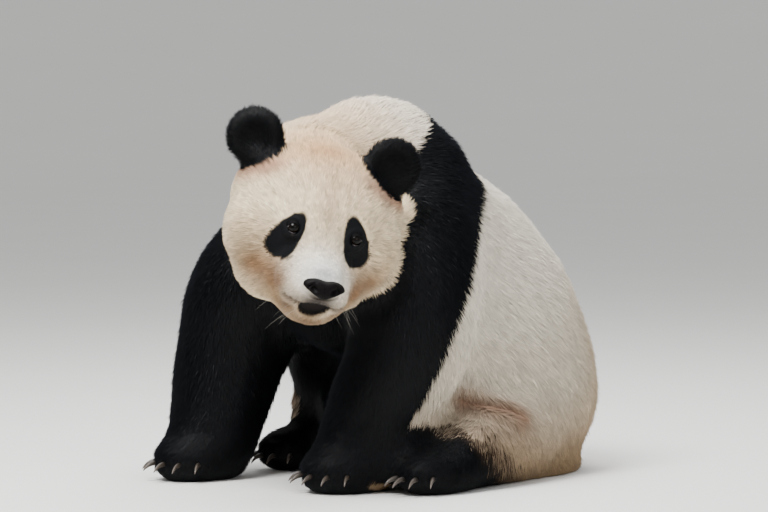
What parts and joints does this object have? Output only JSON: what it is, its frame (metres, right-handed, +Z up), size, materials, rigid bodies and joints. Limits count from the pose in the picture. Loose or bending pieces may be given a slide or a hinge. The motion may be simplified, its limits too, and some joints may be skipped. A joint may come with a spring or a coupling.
{
  "type": "giant panda",
  "caption": "Life-size still model of a giant panda sitting on its haunches, forelegs planted on the floor and its head turned to its left.",
  "frame": {"origin": "middle of the footprint's box, on the floor", "axes": "+Z up, the chest faces -Y and the animal's left side is at +X; the head is turned to its left"},
  "size_m": [0.6784, 0.9908, 0.7192],
  "materials": {
    "coat_white": "cream-white fur, tan at the rump",
    "coat_black": "dense black fur",
    "nose": "bare moist black skin",
    "eye": "wet dark brown eyeball",
    "claw": "satin dark horn"
  },
  "bodies": {
    "root": {"claw_fore_left_1": "claw", "claw_fore_left_2": "claw", "claw_fore_left_3": "claw", "claw_fore_left_4": "claw", "claw_fore_left_5": "claw", "claw_fore_right_1": "claw", "claw_fore_right_2": "claw", "claw_fore_right_3": "claw", "claw_fore_right_4": "claw", "claw_fore_right_5": "claw", "claw_hind_left_1": "claw", "claw_hind_left_2": "claw", "claw_hind_left_3": "claw", "claw_hind_left_4": "claw", "claw_hind_left_5": "claw", "claw_hind_right_1": "claw", "claw_hind_right_2": "claw", "claw_hind_right_3": "claw", "claw_hind_right_4": "claw", "claw_hind_right_5": "claw", "ear_left": "coat_black", "ear_right": "coat_black", "eye_left": "eye", "eye_right": "eye", "foreleg_left_forearm": "coat_black", "foreleg_left_paw": "coat_black", "foreleg_left_upper": "coat_black", "foreleg_right_forearm": "coat_black", "foreleg_right_paw": "coat_black", "foreleg_right_upper": "coat_black", "head": "coat_white", "hindleg_left_foot": "coat_black", "hindleg_left_thigh": "coat_black", "hindleg_right_foot": "coat_black", "hindleg_right_thigh": "coat_black", "jaw": "coat_white", "neck": "coat_white", "nose": "nose", "tail": "coat_white", "trunk": "coat_white"}
  },
  "joints": []
}
